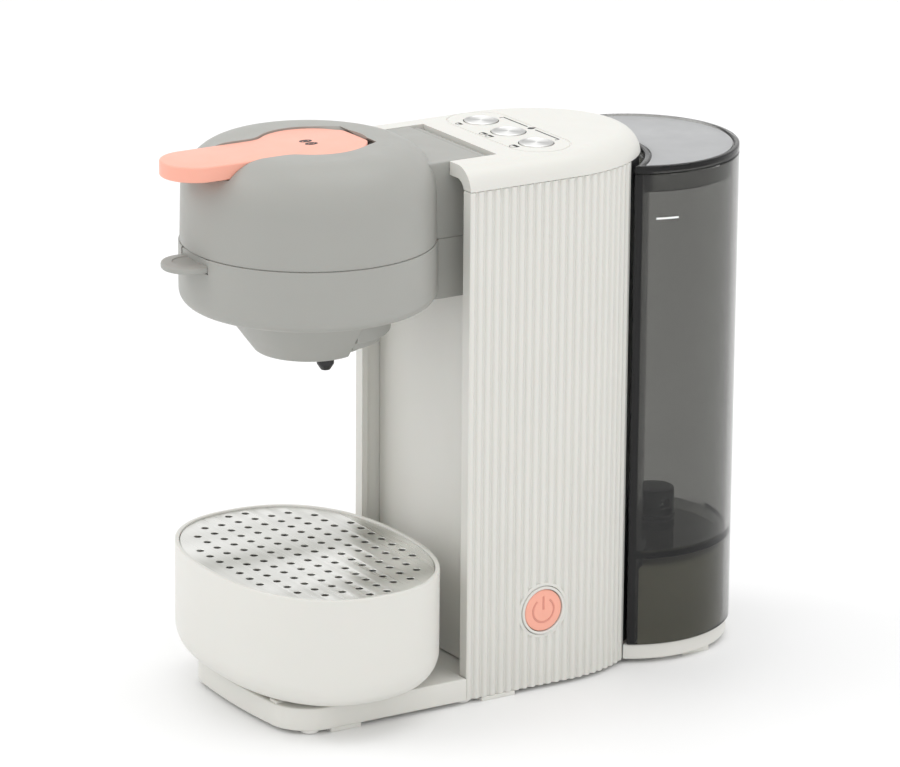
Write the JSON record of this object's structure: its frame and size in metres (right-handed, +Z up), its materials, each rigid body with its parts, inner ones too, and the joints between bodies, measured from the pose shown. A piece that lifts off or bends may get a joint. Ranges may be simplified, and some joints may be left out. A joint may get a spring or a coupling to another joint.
{
  "type": "pod coffee machine",
  "caption": "Pod coffee machine: round brew head with hinged lid and lever on a fluted column, pull-out drip tray with a perforated grille, and a lift-off smoked water tank behind.",
  "frame": {"origin": "middle of the whole footprint, lever tip to tank back, at the floor", "axes": "+Z up, -Y towards the drip tray and lever (front), +X towards the side that carries the power button, which is on the right of someone looking from the front towards the column"},
  "size_m": [0.144, 0.3006, 0.265],
  "materials": {
    "white_plastic": "smooth satin warm-white moulding",
    "grey_plastic": "fine-textured light grey moulding",
    "coral_plastic": "smooth satin pale coral moulding",
    "black_plastic": "plain black moulding",
    "dark_plastic": "plain dark grey moulding",
    "smoked_tank_plastic": "clear smoke-tinted moulding",
    "steel": "brushed or turned stainless steel",
    "cast_aluminium": "cast",
    "silicone": "soft translucent silicone",
    "rubber": "black elastomer",
    "circuit_board": "coated circuit board with its parts"
  },
  "bodies": {
    "machine": {"base_plate": "white_plastic", "base_screw_1": "steel", "base_screw_2": "steel", "base_screw_3": "steel", "base_screw_4": "steel", "tank_pedestal": "grey_plastic", "tank_spigot": "black_plastic", "spigot_seal": "rubber", "side_panel_right": "white_plastic", "side_panel_left": "white_plastic", "column_front_wall": "white_plastic", "column_rear_cover": "dark_plastic", "column_cap": "white_plastic", "hinge_bracket": "steel", "lid_hinge_pin": "steel", "chassis": "dark_plastic", "boiler": "cast_aluminium", "pump": "black_plastic", "pump_mount_low": "rubber", "pump_mount_high": "rubber", "flow_meter": "black_plastic", "control_board": "circuit_board", "key_board": "circuit_board", "power_switch": "black_plastic", "power_bezel": "white_plastic", "cord_gland": "white_plastic", "hose_tank_to_meter": "silicone", "hose_meter_to_pump": "silicone", "hose_pump_to_boiler": "silicone", "hose_boiler_to_head": "silicone", "head_body": "grey_plastic", "head_neck": "grey_plastic", "pod_holder": "grey_plastic", "pod_sieve": "steel", "brew_bowl": "grey_plastic", "spout_cover": "grey_plastic", "outlet_nozzle_left": "black_plastic", "outlet_nozzle_right": "black_plastic"},
    "lid": {"lid_shell": "grey_plastic", "lid_arm": "grey_plastic", "lid_liner": "grey_plastic", "shower_plate": "steel", "pod_seal": "silicone", "lever_pin": "steel", "latch_pin": "steel"},
    "lever": {"lever": "coral_plastic"},
    "latch": {"latch_bar": "black_plastic"},
    "key_one_cup": {"key_one_cup": "steel"},
    "key_two_cups": {"key_two_cups": "steel"},
    "key_strong": {"key_strong": "steel"},
    "power_button": {"power_button": "coral_plastic"},
    "drip_tray": {"drip_tray": "white_plastic"},
    "drip_grille": {"drip_grille": "steel"},
    "tank": {"tank_body": "smoked_tank_plastic", "tank_valve_body": "black_plastic", "tank_valve_cage": "black_plastic", "tank_valve_spring": "steel"},
    "valve_plunger": {"tank_valve_plunger": "rubber"},
    "tank_lid": {"tank_lid": "smoked_tank_plastic"}
  },
  "joints": [
    {"name": "lid_hinge", "type": "hinge", "parent": "machine", "child": "lid", "pos_m": [0, 0.0003, 0.2506], "axis": [-1, 0, 0], "range_deg": [0, 75]},
    {"name": "lever_hinge", "type": "hinge", "parent": "lid", "child": "lever", "pos_m": [0, -0.0517, 0.2604], "axis": [-1, 0, 0], "range_deg": [0, 60]},
    {"name": "latch_pivot", "type": "hinge", "parent": "lid", "child": "latch", "pos_m": [0, -0.1192, 0.239], "axis": [-1, 0, 0], "range_deg": [0, 8]},
    {"name": "key_one_cup_press", "type": "slide", "parent": "machine", "child": "key_one_cup", "axis": [0, 0, -1], "range_m": [0, 0.0012], "stiffness_N_per_m": 900, "springref_m": -0.0005},
    {"name": "key_two_cups_press", "type": "slide", "parent": "machine", "child": "key_two_cups", "axis": [0, 0, -1], "range_m": [0, 0.0012], "stiffness_N_per_m": 900, "springref_m": -0.0005},
    {"name": "key_strong_press", "type": "slide", "parent": "machine", "child": "key_strong", "axis": [0, 0, -1], "range_m": [0, 0.0012], "stiffness_N_per_m": 900, "springref_m": -0.0005},
    {"name": "power_button_press", "type": "slide", "parent": "machine", "child": "power_button", "axis": [-1, 0, 0], "range_m": [0, 0.0015], "stiffness_N_per_m": 1200, "springref_m": -0.0005},
    {"name": "tray_slide", "type": "slide", "parent": "machine", "child": "drip_tray", "axis": [0, -1, 0], "range_m": [0, 0.13]},
    {"name": "grille_lift", "type": "slide", "parent": "drip_tray", "child": "drip_grille", "axis": [0, 0, 1], "range_m": [0, 0.025]},
    {"name": "tank_lift", "type": "slide", "parent": "machine", "child": "tank", "axis": [0, 0, 1], "range_m": [0, 0.25]},
    {"name": "tank_lid_lift", "type": "slide", "parent": "tank", "child": "tank_lid", "axis": [0, 0, 1], "range_m": [0, 0.03]},
    {"name": "tank_valve_lift", "type": "slide", "parent": "tank", "child": "valve_plunger", "axis": [0, 0, 1], "range_m": [0, 0.003], "stiffness_N_per_m": 300, "springref_m": -0.002, "deforming": ["tank_valve_spring"]}
  ],
  "couplings": [
    {"joint": "latch_pivot", "follows": "lever_hinge", "ratio": 0.13}
  ]
}
